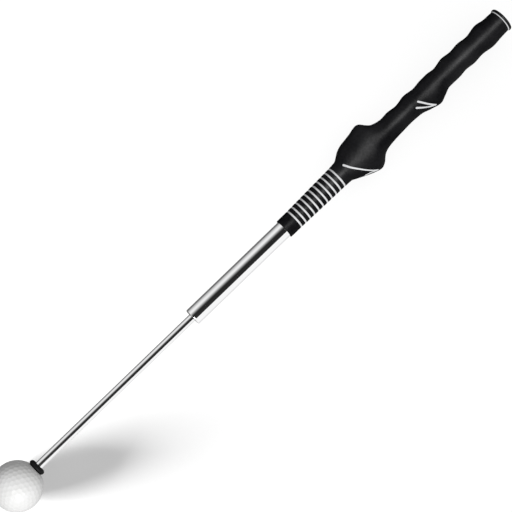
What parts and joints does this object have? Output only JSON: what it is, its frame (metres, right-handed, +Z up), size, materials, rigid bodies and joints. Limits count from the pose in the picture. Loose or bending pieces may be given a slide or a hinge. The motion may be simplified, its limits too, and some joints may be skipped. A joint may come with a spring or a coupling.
{
  "type": "golf swing trainer",
  "caption": "Telescopic swing trainer: a golf ball on a steel rod that slides and turns in a chromed tube with a hand-formed rubber grip, for practising a swing indoors.",
  "frame": {"origin": "on the floor under the middle of the drawn-out stick, midway between the ball's far side and the butt face, under the stick's axis", "axes": "+X along the stick from the ball to the butt of the grip, +Z up from the floor with the guide marks uppermost, +Y to the left of someone looking from the ball to the butt"},
  "size_m": [0.5804, 0.0426, 0.0427],
  "materials": {
    "grip_rubber": "matte",
    "white_paint": "satin",
    "grip_tape": "matte",
    "tube_chrome": "polished",
    "rod_chrome": "polished",
    "bush_nylon": "satin",
    "nylon": "satin",
    "magnet_nickel": "gloss",
    "soft_rubber": "matte",
    "plain_steel": "satin",
    "bumper_rubber": "satin",
    "ball_white": "gloss",
    "core_rubber": "matte",
    "insert_brass": "satin"
  },
  "bodies": {
    "handle": {"grip_sleeve": "grip_rubber", "grip_butt_cap": "grip_rubber", "grip_ring_lines": "white_paint", "butt_ring_line": "white_paint", "grip_guide_marks": "white_paint", "grip_tape": "grip_tape", "outer_tube": "tube_chrome", "guide_bush": "bush_nylon", "magnet_carrier": "nylon", "catch_magnet": "magnet_nickel"},
    "slider": {"piston": "nylon", "piston_ring": "soft_rubber", "stop_washer": "soft_rubber"},
    "rod": {"slide_rod": "rod_chrome", "piston_washer": "plain_steel", "piston_screw": "plain_steel", "bumper_washer": "bumper_rubber", "ball_cover": "ball_white", "ball_core": "core_rubber", "ball_insert": "insert_brass"}
  },
  "joints": [
    {"name": "rod_slide", "type": "slide", "parent": "handle", "child": "slider", "axis": [1, 0, 0], "range_m": [0, 0.1736]},
    {"name": "rod_spin", "type": "hinge", "parent": "slider", "child": "rod", "pos_m": [-0.03, 0, 0.02133], "axis": [1, 0, 0], "continuous": true}
  ]
}
